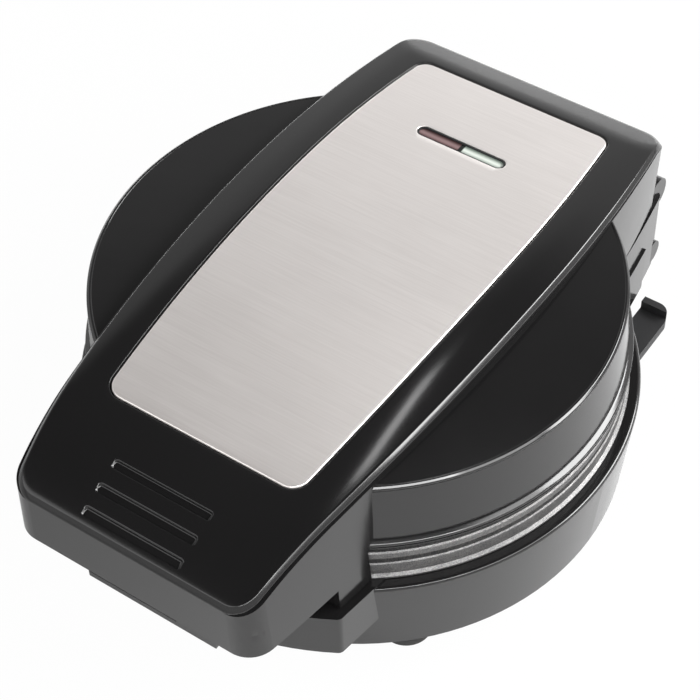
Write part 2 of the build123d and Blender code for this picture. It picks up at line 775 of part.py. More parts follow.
def heating_element(name, plate_z, up):
    """Tubular heater: an open ring against the plate's back, with two cold ends turned away."""
    sign = 1 if up else -1
    centre_z = plate_z + sign * (ELEMENT_TUBE_R + ELEMENT_SEAT)
    start_deg = -90 + ELEMENT_OPEN_DEG / 2
    sweep_deg = 360 - ELEMENT_OPEN_DEG
    with BuildPart() as heater:
        with BuildLine(Plane.XY.offset(centre_z)) as ring:
            CenterArc((0, 0), ELEMENT_R, start_deg, sweep_deg)
        path = ring.wires()[0]
        with BuildSketch(Plane(origin=path @ 0, z_dir=path % 0)):
            Circle(ELEMENT_TUBE_R)
        sweep(path=path)
        with BuildSketch(Plane.XY.offset(centre_z)):
            with PolarLocations(ELEMENT_R, 2, start_deg, -ELEMENT_OPEN_DEG, endpoint=True):
                Circle(TERMINAL_R)
        extrude(amount=sign * TERMINAL_LENGTH)
    write(heater, name)


def reflector(name, plate_z, up):
    """Pressed pan behind the heater, flanged against the plate's back."""
    sign = 1 if up else -1
    floor_z = plate_z + sign * REFLECTOR_DEPTH
    start_deg = -90 + ELEMENT_OPEN_DEG / 2
    with BuildPart() as pan:
        with BuildSketch(Plane.XZ):
            Polygon(
                (0, floor_z),
                (REFLECTOR_FLOOR_R, floor_z),
                (CAVITY_R - 4.0, plate_z + sign * REFLECTOR_THICK),
                (CAVITY_R - 0.2, plate_z + sign * REFLECTOR_THICK),
                (CAVITY_R - 0.2, plate_z),
                (CAVITY_R - 4.6, plate_z),
                (REFLECTOR_FLOOR_R - 0.6, floor_z - sign * REFLECTOR_THICK),
                (0, floor_z - sign * REFLECTOR_THICK),
                align=None,
            )
        revolve(axis=Axis.Z)
        with BuildSketch(Plane.XY.offset(floor_z + sign * REFLECTOR_THICK)):
            with PolarLocations(ELEMENT_R, 2, start_deg, -ELEMENT_OPEN_DEG, endpoint=True):
                Circle(TERMINAL_R + 1.4)
        extrude(amount=-3 * sign * REFLECTOR_THICK, mode=Mode.SUBTRACT)
    write(pan, name)


def element_clips(name, plate_z, up):
    """Bent straps that hold the heater against the plate."""
    sign = 1 if up else -1
    tube_far = 2 * ELEMENT_TUBE_R + ELEMENT_SEAT
    leg_in = ELEMENT_R - ELEMENT_TUBE_R - CLEAR
    leg_out = ELEMENT_R + ELEMENT_TUBE_R + CLEAR
    toe_in = leg_in - 6.0
    top = plate_z + sign * (tube_far + ELEMENT_SEAT)
    far = top + sign * CLIP_THICK
    with BuildPart() as clips:
        with BuildSketch(Plane.XZ.offset(-CLIP_WIDTH / 2)):
            Polygon(
                (toe_in, plate_z),
                (leg_in, plate_z),
                (leg_in, top),
                (leg_out, top),
                (leg_out, plate_z),
                (leg_out + CLIP_THICK, plate_z),
                (leg_out + CLIP_THICK, far),
                (leg_in - CLIP_THICK, far),
                (leg_in - CLIP_THICK, plate_z + sign * CLIP_THICK),
                (toe_in, plate_z + sign * CLIP_THICK),
                align=None,
            )
        extrude(amount=CLIP_WIDTH)
        strap = clips.part
    with BuildPart() as group:
        for number in range(CLIP_COUNT):
            add(strap.rotate(Axis.Z, 90 + number * 360 / CLIP_COUNT))
    write(group, name)


def lid_drum():
    """Lid drum: rounded shoulder, slightly leaning wall, rolled lip and inner plate ledge."""
    inner_wall_r = LID_WALL_R - WALL
    with BuildPart() as drum:
        with BuildSketch(Plane.XZ):
            with BuildLine():
                Line((0, LID_TOP_Z), (LID_SHOULDER_R - LID_SHOULDER_ROUND, LID_TOP_Z))
                RadiusArc(
                    (LID_SHOULDER_R - LID_SHOULDER_ROUND, LID_TOP_Z),
                    (LID_SHOULDER_R, LID_TOP_Z - LID_SHOULDER_ROUND),
                    LID_SHOULDER_ROUND,
                )
                Polyline(
                    (LID_SHOULDER_R, LID_TOP_Z - LID_SHOULDER_ROUND),
                    (LID_WALL_R, LID_LIP_TOP_Z),
                    (LID_LIP_R, LID_LIP_TOP_Z - 1.6),
                    (LID_LIP_R, LID_LIP_Z + 0.8),
                    (LID_LIP_R - 0.8, LID_LIP_Z),
                    (PLATE_LAND_R + 1.0, LID_LIP_Z),
                    (PLATE_LAND_R + 1.0, LID_SEAT_Z),
                    (SEAT_R, LID_SEAT_Z),
                    (SEAT_R, LID_SEAT_Z + WALL),
                    (inner_wall_r, LID_SEAT_Z + WALL),
                    (LID_SHOULDER_R - WALL, LID_TOP_Z - WALL),
                    (0, LID_TOP_Z - WALL),
                    (0, LID_TOP_Z),
                )
            make_face()
        revolve(axis=Axis.Z)
    return drum.part


def bar_walls():
    """Solid of the bar under the cover, kept clear of the plates and of the base."""
    gap_r = PLATE_BEAD_R + 2 * CLEAR
    neck_r = PLATE_LAND_R + 1.0
    inner_r = LID_WALL_R - WALL
    hang_z = LID_TOP_Z - 4 * WALL
    clear_of_plates = lathe(
        (
            (0, 0),
            (gap_r, 0),
            (gap_r, LID_LIP_Z),
            (neck_r, LID_LIP_Z),
            (neck_r, LID_SEAT_Z),
            (inner_r, LID_SEAT_Z),
            (inner_r, hang_z),
            (0, hang_z),
        )
    )
    with BuildPart() as bar:
        add(leaning_bar(0))
        add(under_crown(COVER_DEPTH + SHADOW_GAP), mode=Mode.INTERSECT)
        add(block((-FAR, -FAR, 0), (FAR, -EAR_Y, HANDLE_FLOOR_Z)), mode=Mode.SUBTRACT)
        add(block((-FAR, 0, 0), (FAR, FAR, REAR_BLOCK_Z)), mode=Mode.SUBTRACT)
        add(clear_of_plates, mode=Mode.SUBTRACT)
    return bar.part


def bar_hollow():
    """Hollow of the handle tub, of the small ears beside the drum and of the rear block."""
    gap_r = PLATE_BEAD_R + 2 * CLEAR + WALL
    floor_z = LID_SEAT_Z + 2 * WALL
    rear_z = REAR_BLOCK_Z + REAR_BLOCK_FLOOR
    with BuildPart() as hollow:
        add(leaning_bar(WALL))
        add(
            block((-FAR, -FAR, 0), (FAR, -EAR_Y + WALL, HANDLE_FLOOR_Z + WALL)),
            mode=Mode.SUBTRACT,
        )
        add(block((-FAR, -FAR, 0), (FAR, 0, SKIRT_BOTTOM_Z + WALL)), mode=Mode.SUBTRACT)
        add(block((-FAR, 0, 0), (FAR, FAR, rear_z)), mode=Mode.SUBTRACT)
        add(
            lathe(((0, 0), (gap_r, 0), (gap_r, floor_z), (0, floor_z))),
            mode=Mode.SUBTRACT,
        )
        add(
            x_rod(KNUCKLE_R + HINGE_GAP + WALL, -FAR, FAR, HINGE_Y, HINGE_Z),
            mode=Mode.SUBTRACT,
        )
    return hollow.part


def cover_tongue():
    """Thin rib under the cover's rim that drops inside the housing's walls at both ends."""
    outer_inset = WALL + TONGUE_GAP
    with BuildPart() as tongue:
        add(prism(bar_face(outer_inset), HANDLE_FLOOR_Z, BAR_HEAD_Z))
        add(
            prism(bar_face(outer_inset + TONGUE_WALL), HANDLE_FLOOR_Z - WALL, BAR_HEAD_Z + WALL),
            mode=Mode.SUBTRACT,
        )
        add(under_crown(COVER_DEPTH / 2), mode=Mode.INTERSECT)
        add(under_crown(TONGUE_DEPTH), mode=Mode.SUBTRACT)
        drum_r = LID_WALL_R + WALL
        add(lathe(((0, 0), (drum_r, 0), (drum_r, FAR), (0, FAR))), mode=Mode.SUBTRACT)
    return tongue.part


def upper_housing():
    """Lid moulding: drum, side walls of the bar, handle tub, rear block and lid knuckle."""
    with BuildPart() as body:
        add(lid_drum())
        add(bar_walls())
        add(bar_hollow(), mode=Mode.SUBTRACT)
        add(
            above_crown(bar_face(-COVER_GAP), COVER_DEPTH + COVER_GAP),
            mode=Mode.SUBTRACT,
        )
        # Lid knuckle, and room for the base's knuckles
        add(x_rod(KNUCKLE_R, -LID_KNUCKLE_HALF, LID_KNUCKLE_HALF, HINGE_Y, HINGE_Z))
        for side in (-1, 1):
            room_in, room_out = sorted((side * LID_KNUCKLE_HALF, side * FAR))
            add(
                x_rod(KNUCKLE_R + HINGE_GAP, room_in, room_out, HINGE_Y, HINGE_Z),
                mode=Mode.SUBTRACT,
            )
        add(x_rod(ROD_R + ROD_FIT, -ROD_HALF, ROD_HALF, HINGE_Y, HINGE_Z), mode=Mode.SUBTRACT)
        # Well for the latch, and the two ears that hold its pin
        well_half = LATCH_HALF + 2 * CLEAR
        ear_top_z = LATCH_PIVOT_Z + LATCH_EAR_R
        add(
            block(
                (-well_half, LATCH_WELL_FRONT_Y, HANDLE_FLOOR_Z - WALL),
                (well_half, LATCH_WELL_REAR_Y, HANDLE_FLOOR_Z + 2 * WALL),
            ),
            mode=Mode.SUBTRACT,
        )
        for side in (-1, 1):
            low_x, high_x = sorted((side * well_half, side * (well_half + LATCH_EAR)))
            add(
                block(
                    (low_x, LATCH_PIVOT_Y - LATCH_EAR_R, HANDLE_FLOOR_Z + WALL / 2),
                    (high_x, LATCH_PIVOT_Y + LATCH_EAR_R, ear_top_z),
                )
            )
        pin_half = well_half + LATCH_EAR
        add(
            x_rod(LATCH_PIN_R, -pin_half, pin_half, LATCH_PIVOT_Y, LATCH_PIVOT_Z),
            mode=Mode.SUBTRACT,
        )
        # Screw holes for the upper plate and for the top cover
        with BuildSketch(Plane.XY.offset(LID_SEAT_Z)):
            with ring_points(PLATE_SCREW_R, PLATE_SCREW_COUNT, 45):
                Circle(SCREW_R)
        extrude(amount=WALL, mode=Mode.SUBTRACT)
        for x, y, floor_z, depth in cover_screws():
            with BuildSketch(Plane.XY.offset(floor_z)):
                with Locations((x, y)):
                    Circle(SCREW_R)
            extrude(amount=depth, mode=Mode.SUBTRACT)
            with BuildSketch(Plane.XY.offset(floor_z)):
                with Locations((x, y)):
                    Circle(SCREW_HEAD_R)
            extrude(amount=depth - WALL / 2, mode=Mode.SUBTRACT)
    write(body, "upper_housing")


def cover_screws():
    """Places of the top cover's screws: x, y, the floor they pass and its thickness."""
    places = []
    for side in (-1, 1):
        places.append((side * 42.0, -121.0, HANDLE_FLOOR_Z, WALL))
        places.append((side * 38.0, 123.5, REAR_BLOCK_Z, REAR_BLOCK_FLOOR))
    return places


def cover_post(x, y, seat_z):
    """Screw post from the housing's floor up into the cover's skin."""
    with BuildPart() as post:
        with BuildSketch(Plane.XY.offset(seat_z)):
            with Locations((x, y)):
                Circle(BOSS_R)
        extrude(amount=BAR_HEAD_Z - seat_z)
        add(under_crown(COVER_DEPTH / 2), mode=Mode.INTERSECT)
        with BuildSketch(Plane.XY.offset(seat_z)):
            with Locations((x, y)):
                Circle(SCREW_R)
        extrude(amount=5 * SCREW_R, mode=Mode.SUBTRACT)
    return post.part


def window_slot():
    """Upright round-ended bar where the indicator window passes through."""
    with BuildSketch() as slot:
        with Locations((WINDOW_X, WINDOW_Y)):
            SlotOverall(WINDOW_LENGTH, WINDOW_WIDTH)
    return prism(slot.sketch, HANDLE_FLOOR_Z, BAR_HEAD_Z + WALL)


def top_cover():
    """Glossy cover over the bar: an arched, bevelled plate with pockets, ribs and screw posts."""
    with BuildPart() as cover:
        add(prism(bar_face(0), HANDLE_FLOOR_Z, BAR_HEAD_Z + WALL))
        add(under_crown(0), mode=Mode.INTERSECT)
        add(under_crown(COVER_DEPTH), mode=Mode.SUBTRACT)
        add(cover_tongue())
        for x, y, floor_z, depth in cover_screws():
            add(cover_post(x, y, floor_z + depth))
        # Pocket for the inlay, slot for the window, three grip grooves
        add(above_crown(inlay_face(-INLAY_GAP), INLAY_THICK), mode=Mode.SUBTRACT)
        add(window_slot(), mode=Mode.SUBTRACT)
        for groove_y in GRIP_Y:
            with BuildSketch(mode=Mode.PRIVATE) as groove:
                with Locations((0, groove_y)):
                    SlotOverall(2 * GRIP_HALF, GRIP_WIDTH)
            add(above_crown(groove.sketch, GRIP_DEPTH), mode=Mode.SUBTRACT)
    write(cover, "top_cover")


def steel_inlay():
    """Brushed sheet laid in the cover's pocket, with a slot over the window."""
    with BuildPart() as inlay:
        add(prism(inlay_face(0), HANDLE_FLOOR_Z, BAR_HEAD_Z + WALL))
        add(under_crown(0), mode=Mode.INTERSECT)
        add(under_crown(INLAY_THICK), mode=Mode.SUBTRACT)
        add(window_slot(), mode=Mode.SUBTRACT)
    write(inlay, "steel_inlay")


def window_top_z():
    """Height of the bezel's top, a little under the arch at the middle of the window."""
    return arch_z(WINDOW_Y) - BEZEL_DROP


def lamp_z():
    """Height of the lamps' axes, under the bezel's flange."""
    return arch_z(WINDOW_Y) - 2 * WALL - CLEAR - LAMP_R


def window_bezel():
    """Dark ring pressed into the slot from below, with a flange under the cover."""
    flange_top_z = arch_z(WINDOW_Y - WINDOW_WIDTH) - WALL - 4 * CLEAR
    flange_z = arch_z(WINDOW_Y) - 2 * WALL
    with BuildPart() as bezel:
        with BuildSketch(Plane.XY.offset(flange_z)):
            with Locations((WINDOW_X, WINDOW_Y)):
                SlotOverall(WINDOW_LENGTH, WINDOW_WIDTH)
        extrude(amount=window_top_z() - flange_z)
        with BuildSketch(Plane.XY.offset(flange_z)):
            with Locations((WINDOW_X, WINDOW_Y)):
                SlotOverall(WINDOW_LENGTH + 2 * WALL, WINDOW_WIDTH + 2 * WALL)
        extrude(amount=flange_top_z - flange_z)
        with BuildSketch(Plane.XY.offset(flange_z)):
            with Locations((WINDOW_X, WINDOW_Y)):
                SlotOverall(WINDOW_LENGTH - 2 * WINDOW_RIM, WINDOW_WIDTH - 2 * WINDOW_RIM)
        extrude(amount=4 * WALL, mode=Mode.SUBTRACT)
    write(bezel, "window_bezel")


def indicator_lens(name, side):
    """Half of the indicator window: a clear coloured bar with one round end."""
    top_z = window_top_z() - LENS_DROP
    with BuildPart() as lens:
        with BuildSketch(Plane.XY.offset(top_z - LENS_THICK)):
            with Locations((WINDOW_X, WINDOW_Y)):
                SlotOverall(WINDOW_LENGTH - 2 * WINDOW_RIM, WINDOW_WIDTH - 2 * WINDOW_RIM)
            with Locations((WINDOW_X + side * WINDOW_LENGTH / 2, WINDOW_Y)):
                Rectangle(WINDOW_LENGTH, WINDOW_WIDTH, mode=Mode.INTERSECT)
        extrude(amount=LENS_THICK)
    write(lens, name)


def lamp(name, side):
    """Neon lamp lying under one half of the window."""
    centre_z = lamp_z()
    middle_x = WINDOW_X + side * LAMP_X
    low_x, high_x = middle_x - LAMP_LENGTH / 2, middle_x + LAMP_LENGTH / 2
    with BuildPart() as bulb:
        add(x_rod(LAMP_R, low_x, high_x, WINDOW_Y, centre_z))
    write(bulb, name)


def lamp_holder():
    """Box under the window that carries both lamps, hung from the bezel's flange."""
    flange_z = arch_z(WINDOW_Y) - 2 * WALL
    centre_z = lamp_z()
    low_x = WINDOW_X - LAMP_X - LAMP_LENGTH / 2
    high_x = WINDOW_X + LAMP_X + LAMP_LENGTH / 2
    inner_y = LAMP_R + 0.1
    bottom_z = centre_z - LAMP_R - 0.1 - HOLDER_WALL
    with BuildPart() as holder:
        add(
            block(
                (low_x - HOLDER_WALL, WINDOW_Y - inner_y - HOLDER_WALL, bottom_z),
                (high_x + HOLDER_WALL, WINDOW_Y + inner_y + HOLDER_WALL, flange_z),
            )
        )
        add(
            block(
                (low_x, WINDOW_Y - inner_y, bottom_z + HOLDER_WALL),
                (high_x, WINDOW_Y + inner_y, flange_z + WALL),
            ),
            mode=Mode.SUBTRACT,
        )
        add(
            block(
                (WINDOW_X - HOLDER_WALL / 2, WINDOW_Y - inner_y, bottom_z),
                (WINDOW_X + HOLDER_WALL / 2, WINDOW_Y + inner_y, flange_z),
            )
        )
    write(holder, "lamp_holder")


def latch_catch():
    """Ledge on the front of the locking block that the latch hooks under."""
    with BuildPart() as ledge:
        with BuildSketch(Plane.XY.offset(CATCH_BOTTOM_Z)):
            Circle(BLOCK_R + CATCH_OUT)
            Circle(BLOCK_R, mode=Mode.SUBTRACT)
            with Locations((0, -BLOCK_R)):
                Rectangle(2 * CATCH_HALF, BLOCK_CORNER_X, mode=Mode.INTERSECT)
        extrude(amount=CATCH_TOP_Z - CATCH_BOTTOM_Z)
    write(ledge, "latch_catch")


def latch_hook():
    """Bar on the back of the latch's plate that goes under the catch."""
    tip_y = -(BLOCK_R + CATCH_OUT + LATCH_HOOK_GAP)
    with BuildPart() as hook:
        add(
            block(
                (-LATCH_HOOK_HALF, LATCH_PIVOT_Y, LATCH_HOOK_LOW_Z),
                (LATCH_HOOK_HALF, tip_y, LATCH_HOOK_TOP_Z),
            )
        )
    write(hook, "latch_hook")


def latch():
    """Locking latch: a tube on its pin and a flat finger plate below it."""
    front_y = LATCH_PIVOT_Y - LATCH_PLATE
    with BuildPart() as body:
        add(x_rod(LATCH_TUBE_R, -LATCH_HALF, LATCH_HALF, LATCH_PIVOT_Y, LATCH_PIVOT_Z))
        add(
            block(
                (-LATCH_HALF, front_y, LATCH_BOTTOM_Z),
                (LATCH_HALF, LATCH_PIVOT_Y, LATCH_PIVOT_Z),
            )
        )
        # Finger notch across the plate's foot, open at its left end
        add(
            block(
                (-LATCH_HALF - WALL, front_y - WALL, LATCH_NOTCH_LOW_Z),
                (LATCH_NOTCH_RIGHT, front_y + LATCH_NOTCH_DEPTH, LATCH_NOTCH_HIGH_Z),
            ),
            mode=Mode.SUBTRACT,
        )
        add(
            x_rod(LATCH_PIN_R + ROD_FIT, -FAR, FAR, LATCH_PIVOT_Y, LATCH_PIVOT_Z),
            mode=Mode.SUBTRACT,
        )
    write(body, "latch")


def pins():
    """Latch pin and hinge rod."""
    pin_half = LATCH_HALF + 2 * CLEAR + LATCH_EAR
    with BuildPart() as latch_pin:
        add(x_rod(LATCH_PIN_R, -pin_half, pin_half, LATCH_PIVOT_Y, LATCH_PIVOT_Z))
    write(latch_pin, "latch_pin")
    with BuildPart() as rod:
        add(x_rod(ROD_R, -ROD_HALF, ROD_HALF, HINGE_Y, HINGE_Z))
    write(rod, "hinge_rod")


def cover_screw_group():
    """Four screws that hold the top cover from below."""
    with BuildPart() as screws:
        for x, y, floor_z, depth in cover_screws():
            head_top_z = floor_z + depth - WALL / 2
            with BuildSketch(Plane.XY.offset(head_top_z)):
                with Locations((x, y)):
                    Circle(SCREW_HEAD_R)
            extrude(amount=-1.2)
            with BuildSketch(Plane.XY.offset(head_top_z)):
                with Locations((x, y)):
                    Circle(SCREW_R)
            extrude(amount=WALL / 2 + 4 * SCREW_R)
    write(screws, "cover_screws")


def cord_gland():
    """Moulded gland in the hinge block's back wall, with a bore for the supply cord."""
    face_y = HINGE_BLOCK_BACK_Y
    with BuildPart() as gland:
        with BuildSketch(Plane.XZ.offset(-(face_y - WALL - GLAND_TAIL))):
            with Locations((0, GLAND_Z)):
                Circle(GLAND_R)
        extrude(amount=-(WALL + GLAND_TAIL))
        with BuildSketch(Plane.XZ.offset(-face_y)):
            with Locations((0, GLAND_Z)):
                Circle(GLAND_FLANGE_R)
        extrude(amount=-GLAND_FLANGE)
        with BuildSketch(Plane.XZ.offset(-(face_y - WALL - GLAND_TAIL))):
            with Locations((0, GLAND_Z)):
                Circle(GLAND_BORE_R)
        extrude(amount=-(WALL + GLAND_TAIL + GLAND_FLANGE), mode=Mode.SUBTRACT)
    write(gland, "cord_gland")


def terminal_block():
    """Ceramic block on the bottom cover where the supply meets the heater leads."""
    floor_z = COVER_Z + WALL
    with BuildPart() as terminals:
        add(
            block(
                (-BLOCK_LENGTH / 2, 60.0, floor_z),
                (BLOCK_LENGTH / 2, 60.0 + BLOCK_WIDTH, floor_z + BLOCK_HEIGHT),
            )
        )
        with BuildSketch(Plane.XY.offset(floor_z + BLOCK_HEIGHT)):
            with Locations((0, 60.0 + BLOCK_WIDTH / 2)):
                with GridLocations(9.0, 8.0, 3, 2):
                    Circle(2.0)
        extrude(amount=-5.0, mode=Mode.SUBTRACT)
    write(terminals, "terminal_block")


def thermostat(name, plate_z, up, x, y):
    """Bimetal thermostat on the back of a reflector pan."""
    sign = 1 if up else -1
    seat_z = plate_z + sign * REFLECTOR_DEPTH
    if not up:
        seat_z = plate_z - REFLECTOR_DEPTH
    with BuildPart() as switch:
        with BuildSketch(Plane.XY.offset(seat_z)):
            with Locations((x, y)):
                Circle(THERMOSTAT_R)
        extrude(amount=sign * THERMOSTAT_HEIGHT * 0.6)
        with BuildSketch(Plane.XY.offset(seat_z)):
            with Locations((x, y)):
                Rectangle(2 * THERMOSTAT_R + 12, 5)
        extrude(amount=sign * 1.0)
        with BuildSketch(Plane.XY.offset(seat_z + sign * THERMOSTAT_HEIGHT * 0.6)):
            with Locations((x - 4, y), (x + 4, y)):
                Rectangle(1.0, 5.0)
        extrude(amount=sign * 2.4)
    write(switch, name)


def thermal_fuse():
    """One-shot fuse in a sleeve, lying on the lower reflector."""
    seat_z = LOWER_PLATE_UNDER_Z - REFLECTOR_DEPTH - FUSE_R - 0.1
    with BuildPart() as fuse:
        add(x_rod(FUSE_R, -FUSE_LENGTH / 2, FUSE_LENGTH / 2, 30.0, seat_z))
    write(fuse, "thermal_fuse")


def build():
    """Make every piece."""
    os.makedirs("parts", exist_ok=True)
    lower_housing()
    bottom_cover()
    for name, angle in foot_angles():
        foot(name, angle)
    lower_cooking_plate()
    upper_cooking_plate()
    heating_element("lower_heating_element", LOWER_PLATE_UNDER_Z, up=False)
    heating_element("upper_heating_element", UPPER_PLATE_OVER_Z, up=True)
    reflector("lower_reflector", LOWER_PLATE_UNDER_Z, up=False)
    reflector("upper_reflector", UPPER_PLATE_OVER_Z, up=True)
    element_clips("lower_element_clips", LOWER_PLATE_UNDER_Z, up=False)
    element_clips("upper_element_clips", UPPER_PLATE_OVER_Z, up=True)
    upper_housing()
    top_cover()
    steel_inlay()
    window_bezel()
    indicator_lens("power_lens", -1)
    indicator_lens("ready_lens", 1)
    lamp("power_lamp", -1)
    lamp("ready_lamp", 1)
    lamp_holder()
    latch()
    latch_hook()
    latch_catch()
    pins()
    cover_screw_group()
    screw_group(
        "bottom_cover_screws", BASE_SCREW_R, BASE_SCREW_COUNT, 0, COVER_Z, WALL + 8.0, up=True
    )
    screw_group(
        "lower_plate_screws",
        PLATE_SCREW_R,
        PLATE_SCREW_COUNT,
        45,
        BASE_LEDGE_Z - WALL,
        2 * WALL,
        up=True,
    )
    screw_group(
        "upper_plate_screws",
        PLATE_SCREW_R,
        PLATE_SCREW_COUNT,
        45,
        LID_SEAT_Z + WALL,
        2 * WALL,
        up=False,
    )
    cord_gland()
    terminal_block()
    thermostat("upper_thermostat", UPPER_PLATE_OVER_Z, True, -30.0, 20.0)
    thermostat("lower_thermostat", LOWER_PLATE_UNDER_Z, False, -30.0, -20.0)
    thermal_fuse()


build()
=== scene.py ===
"""Round snack maker: glossy black mouldings, brushed steel inlay, grained metal plates."""

import bpy
import numpy as np
from mathutils import Matrix


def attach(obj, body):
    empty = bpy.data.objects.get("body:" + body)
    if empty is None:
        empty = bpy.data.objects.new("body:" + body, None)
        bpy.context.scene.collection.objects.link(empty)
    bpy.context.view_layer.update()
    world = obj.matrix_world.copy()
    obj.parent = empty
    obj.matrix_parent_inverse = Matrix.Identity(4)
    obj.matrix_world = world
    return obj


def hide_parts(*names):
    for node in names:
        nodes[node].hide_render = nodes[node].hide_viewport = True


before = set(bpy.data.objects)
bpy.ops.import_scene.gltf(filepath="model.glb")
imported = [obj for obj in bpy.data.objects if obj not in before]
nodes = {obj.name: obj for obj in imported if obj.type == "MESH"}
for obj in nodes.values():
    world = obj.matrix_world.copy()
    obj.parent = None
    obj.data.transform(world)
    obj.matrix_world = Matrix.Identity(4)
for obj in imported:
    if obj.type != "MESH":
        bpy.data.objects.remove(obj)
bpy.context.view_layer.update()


# The lid and the base are injection moulded in one glossy black plastic and keep the shine of the
# polished mould. Close up the gloss wanders a little, with faint ripples and dull patches where
# hands go.
def plug(tree, slot, value):
    """Put a number, a colour or a socket into an input of a node."""
    if isinstance(value, Socket):
        tree.links.new(value.output, slot)
    else:
        slot.default_value = value


class Socket:
    """A node's output. Operators add Math nodes to the same node tree."""

    def __init__(self, tree, output):
        self.tree = tree
        self.output = output

    def _math(self, operation, *values):
        node = self.tree.nodes.new("ShaderNodeMath")
        node.operation = operation
        for slot, value in zip(node.inputs, values):
            plug(self.tree, slot, value)
        return Socket(self.tree, node.outputs[0])

    def __add__(self, other):
        return self._math("ADD", self, other)

    def __radd__(self, other):
        return self._math("ADD", other, self)

    def __sub__(self, other):
        return self._math("SUBTRACT", self, other)

    def __rsub__(self, other):
        return self._math("SUBTRACT", other, self)

    def __mul__(self, other):
        return self._math("MULTIPLY", self, other)

    def __rmul__(self, other):
        return self._math("MULTIPLY", other, self)

    def __pow__(self, other):
        return self._math("POWER", self, other)

    def __abs__(self):
        return self._math("ABSOLUTE", self)


class Nodes:
    """The node tree of a material or a world."""

    def __init__(self, owner):
        owner.use_nodes = True
        self.tree = owner.node_tree

    def node(self, kind, settings, values, output=0):
        """Add any other node: its settings first, then the values or links of its sockets."""
        node = self.tree.nodes.new(kind)
        for key, value in settings.items():
            setattr(node, key, value)
        for key, value in values.items():
            plug(self.tree, node.inputs[key], value)
        return Socket(self.tree, node.outputs[output]) if node.outputs else None


class Finish(Nodes):
    """One material: a Principled shader whose sockets take numbers, colours or sockets."""

    def __init__(self, name, **constants):
        self.material = bpy.data.materials.new(name)
        super().__init__(self.material)
        self.shader = self.tree.nodes["Principled BSDF"]
        self.place = self.node("ShaderNodeTexCoord", {}, {}, output="Object")
        for key, value in constants.items():
            self.set(key.replace("_", " "), value)

    def set(self, key, value):
        """Put a number, a colour or a socket into one of the shader's inputs."""
        plug(self.tree, self.shader.inputs[key], value)

    def noise(self, scale, detail=3.0, stretch=(1.0, 1.0, 1.0)):
        """Noise on the object's own coordinates, drawn out along an axis by a small stretch."""
        place = self.node("ShaderNodeMapping", {}, {"Vector": self.place, "Scale": stretch})
        values = {"Vector": place, "Scale": scale, "Detail": detail, "Roughness": 0.55}
        return self.node("ShaderNodeTexNoise", {}, values)

    def ramp(self, value, low, high):
        """Smooth step of a value from 0 at one number to 1 at another."""
        settings = {"interpolation_type": "SMOOTHSTEP"}
        values = {"Value": value, "From Min": low, "From Max": high}
        return self.node("ShaderNodeMapRange", settings, values)

    def mix(self, factor, first, second):
        """Blend of two colours."""
        values = {0: factor, 6: first, 7: second}
        return self.node("ShaderNodeMix", {"data_type": "RGBA"}, values, output=2)

    def bump(self, height, strength, distance):
        """Small relief on the surface, its depth in metres."""
        values = {"Height": height, "Strength": strength, "Distance": distance}
        self.set("Normal", self.node("ShaderNodeBump", {}, values))

    def axis(self, name):
        """One coordinate of the place on the object."""
        return self.node("ShaderNodeSeparateXYZ", {}, {0: self.place}, output=name)

    def radius(self):
        """Distance from the drum's upright axis."""
        return (self.axis("X") ** 2 + self.axis("Y") ** 2) ** 0.5


def coat(piece, finish):
    """Give an object its finish."""
    piece.data.materials.clear()
    piece.data.materials.append(finish.material)


black_plastic = (0.0070, 0.0068, 0.0070, 1.0)
moulding = Finish("gloss_black_moulding", IOR=1.52)
handling = moulding.noise(14.0, detail=4.0)
speck = moulding.noise(2600.0, detail=1.0)
dull_plastic = (0.0090, 0.0087, 0.0088, 1.0)
moulding.set("Base Color", moulding.mix(handling, black_plastic, dull_plastic))
moulding.set("Roughness", 0.085 + 0.07 * handling + 0.03 * speck)
moulding.bump(
    moulding.noise(38.0, detail=2.0) + 0.02 * speck, strength=0.10, distance=0.0004
)
for name in ("upper_housing", "lower_housing", "latch_catch"):
    coat(nodes[name], moulding)


# The top cover is a thin plate of the same glossy plastic, moulded by itself and screwed over the
# whole bar. It is a long arch that drops faster over the handle, with bevelled sides and rear, a
# narrow bevel all round, a pocket for the steel inlay and three finger grooves.
cover_half, cover_wide_y = 0.0705, 0.040
cover_curves = (0.49, 0.825)
cover_ends = (-0.1506, 0.1397)
cover_corners = (0.011, 0.011)
cover_depth, cover_round = 0.0022, 0.0018
cover_edge_in = (0.0018, 0.00162, 0.00145, 0.0013, 0.00078, 0.00027, 0.00012, 0.00003, 0.0)
cover_edge_down = (0.0, 0.00003, 0.00012, 0.00025, 0.00077, 0.00128, 0.00146, 0.00164, 0.00182)
inlay_half, inlay_wide_y = 0.0510, 0.040
inlay_curves = (0.345, 0.80)
inlay_ends = (-0.1035, 0.1193)
inlay_corners = (0.0075, 0.006)
inlay_thick, pocket_gap, pocket_round = 0.0009, 0.0007, 0.0003
arch_top, arch_r, arch_front_r, arch_join_y = 0.1172, 1.0, 0.115, -0.105
land_half, bevel_slope, land_ease = 0.057, 0.17, 0.0026
rear_bevel_y, rear_bevel_fall, rear_ease = 0.1235, 0.405, 0.0003
grip_rows = (-0.1263, -0.1361, -0.1450)
grip_half, grip_width, grip_depth, grip_edge = 0.0228, 0.0038, 0.0011, 0.0006
pocket_reach, pocket_slack = 0.003, 0.00005
lower_bevel, lower_reach = 0.0002, 0.004
front_steps, front_corner_steps, side_steps, rear_corner_steps, rear_steps = 130, 22, 110, 18, 40
pocket_steps, top_steps, groove_wall_steps, corner_rounds = 4, 18, 7, 8


